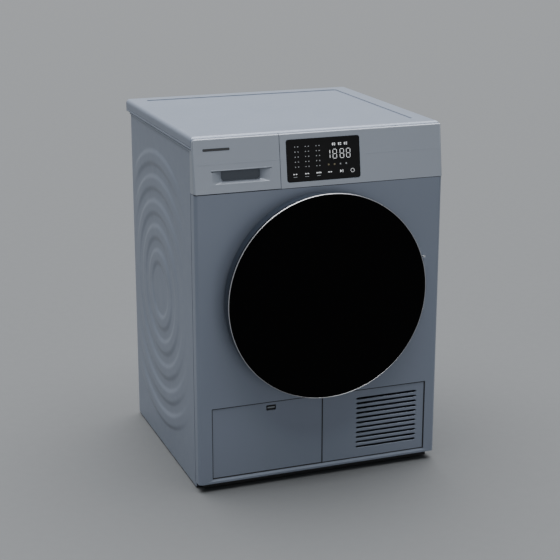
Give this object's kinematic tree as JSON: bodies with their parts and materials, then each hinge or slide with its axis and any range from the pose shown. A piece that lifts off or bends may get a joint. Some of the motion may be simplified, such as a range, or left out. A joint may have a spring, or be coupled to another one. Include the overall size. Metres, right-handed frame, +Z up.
{
  "type": "tumble dryer",
  "caption": "Front-loading tumble dryer with a round glass door, a condensate tank drawer, a touch display, a service flap and a louvred vent.",
  "frame": {"origin": "on the floor, under the middle of the whole machine", "axes": "+Z up, the front with the door faces -Y, +X to the right of a person facing it"},
  "size_m": [0.6, 0.634, 0.832],
  "materials": {
    "body_paint": "satin metallic blue-grey",
    "fascia_paint": "satin metallic blue-grey, finer than the body",
    "rim_paint": "satin dark blue",
    "black_glass": "gloss black, printed behind",
    "smoked_glass": "smoked clear",
    "chrome_trim": "polished",
    "bright_steel": "fine brushed",
    "zinc_steel": "galvanised, dull",
    "black_plastic": "fine moulded grain",
    "black_steel": "satin black",
    "grey_plastic": "fine moulded grain",
    "white_plastic": "moulded",
    "lamp_lens": "frosted",
    "cast_aluminium": "as cast and as rolled",
    "rubber": "matt",
    "circuit_board": "solder-resist green"
  },
  "bodies": {
    "cabinet": {"side_panel_left": "body_paint", "side_panel_right": "body_paint", "front_panel": "body_paint", "vent_grille": "body_paint", "top_plate": "body_paint", "control_fascia": "fascia_paint", "display_glass": "black_glass", "flap_hinge_rod": "bright_steel", "hinge_pin": "bright_steel", "rear_panel": "zinc_steel", "rear_duct_cover": "zinc_steel", "hinge_bracket": "zinc_steel", "drive_motor": "zinc_steel", "idler_post": "zinc_steel", "base_tray": "black_plastic", "plinth": "black_plastic", "cord_gland": "black_plastic", "compressor": "black_steel", "drain_spigot": "grey_plastic", "tank_guide": "grey_plastic", "front_bulkhead": "grey_plastic", "filter_duct": "grey_plastic", "fan_housing": "grey_plastic", "exchanger_cover": "grey_plastic", "door_lock": "white_plastic", "condensate_pump": "white_plastic", "drum_lamp": "lamp_lens", "rear_bearing": "cast_aluminium", "heat_exchanger": "cast_aluminium", "drive_belt": "rubber", "control_board": "circuit_board"},
    "door": {"door_glass": "black_glass", "door_ring": "chrome_trim", "door_rim": "rim_paint", "door_inner_frame": "black_plastic", "door_bowl": "smoked_glass", "door_seal": "rubber", "door_hook": "zinc_steel", "door_hinge_leaf": "zinc_steel"},
    "door_switch": {"door_switch_plunger": "white_plastic"},
    "drum": {"drum_shell": "bright_steel", "drum_lifter_1": "grey_plastic", "drum_lifter_2": "grey_plastic", "drum_lifter_3": "grey_plastic", "drum_shaft": "bright_steel"},
    "tank_drawer": {"tank_drawer_front": "fascia_paint", "water_tank": "white_plastic"},
    "lint_filter": {"lint_filter": "white_plastic"},
    "service_flap": {"service_flap": "body_paint"},
    "flap_latch": {"flap_latch": "grey_plastic"},
    "lever_left": {"cover_lever_left": "white_plastic"},
    "lever_right": {"cover_lever_right": "white_plastic"},
    "rotor": {"motor_shaft": "bright_steel", "fan_impeller": "grey_plastic"},
    "idler_arm": {"idler_arm": "bright_steel"},
    "idler_pulley": {"idler_pulley": "black_plastic"},
    "foot_front_left": {"foot_front_left": "black_plastic"},
    "foot_front_right": {"foot_front_right": "black_plastic"},
    "foot_rear_left": {"foot_rear_left": "black_plastic"},
    "foot_rear_right": {"foot_rear_right": "black_plastic"}
  },
  "joints": [
    {"name": "door_hinge", "type": "hinge", "parent": "cabinet", "child": "door", "pos_m": [0.251, -0.28, 0.458], "axis": [0, 0, 1], "range_deg": [0, 115]},
    {"name": "door_switch_press", "type": "slide", "parent": "cabinet", "child": "door_switch", "axis": [0, 1, 0], "range_m": [0, 0.003], "stiffness_N_per_m": 300},
    {"name": "drum_spin", "type": "hinge", "parent": "cabinet", "child": "drum", "pos_m": [0, 0, 0.458], "axis": [0, 1, 0], "continuous": true},
    {"name": "tank_drawer_slide", "type": "slide", "parent": "cabinet", "child": "tank_drawer", "axis": [0, -1, 0], "range_m": [0, 0.35]},
    {"name": "lint_filter_lift", "type": "slide", "parent": "cabinet", "child": "lint_filter", "axis": [0, 0, 1], "range_m": [0, 0.16]},
    {"name": "service_flap_hinge", "type": "hinge", "parent": "cabinet", "child": "service_flap", "pos_m": [0, -0.2596, 0.0395], "axis": [1, 0, 0], "range_deg": [0, 90]},
    {"name": "flap_latch_press", "type": "slide", "parent": "service_flap", "child": "flap_latch", "axis": [0, 0, -1], "range_m": [0, 0.003], "stiffness_N_per_m": 400},
    {"name": "lever_left_turn", "type": "hinge", "parent": "cabinet", "child": "lever_left", "pos_m": [-0.215, -0.223, 0.15], "axis": [0, 1, 0], "range_deg": [0, 90]},
    {"name": "lever_right_turn", "type": "hinge", "parent": "cabinet", "child": "lever_right", "pos_m": [-0.045, -0.223, 0.15], "axis": [0, 1, 0], "range_deg": [0, 90]},
    {"name": "rotor_spin", "type": "hinge", "parent": "cabinet", "child": "rotor", "pos_m": [0.205, 0.033, 0.108], "axis": [0, 1, 0], "continuous": true},
    {"name": "idler_arm_swing", "type": "hinge", "parent": "cabinet", "child": "idler_arm", "pos_m": [0.0341, 0.013, 0.1157], "axis": [0, 1, 0], "range_deg": [0, 10], "stiffness_Nm_per_rad": 3, "springref_deg": -17.19},
    {"name": "idler_pulley_spin", "type": "hinge", "parent": "idler_arm", "child": "idler_pulley", "pos_m": [0.0961, 0.001, 0.1157], "axis": [0, 1, 0], "continuous": true},
    {"name": "foot_front_left_turn", "type": "hinge", "parent": "cabinet", "child": "foot_front_left", "pos_m": [-0.25, -0.197, 0], "axis": [0, 0, 1], "continuous": true},
    {"name": "foot_front_right_turn", "type": "hinge", "parent": "cabinet", "child": "foot_front_right", "pos_m": [0.25, -0.197, 0], "axis": [0, 0, 1], "continuous": true},
    {"name": "foot_rear_left_turn", "type": "hinge", "parent": "cabinet", "child": "foot_rear_left", "pos_m": [-0.25, 0.233, 0], "axis": [0, 0, 1], "continuous": true},
    {"name": "foot_rear_right_turn", "type": "hinge", "parent": "cabinet", "child": "foot_rear_right", "pos_m": [0.25, 0.233, 0], "axis": [0, 0, 1], "continuous": true}
  ],
  "couplings": [
    {"joint": "rotor_spin", "follows": "drum_spin", "ratio": 19.714},
    {"joint": "idler_pulley_spin", "follows": "drum_spin", "ratio": -25.091}
  ]
}
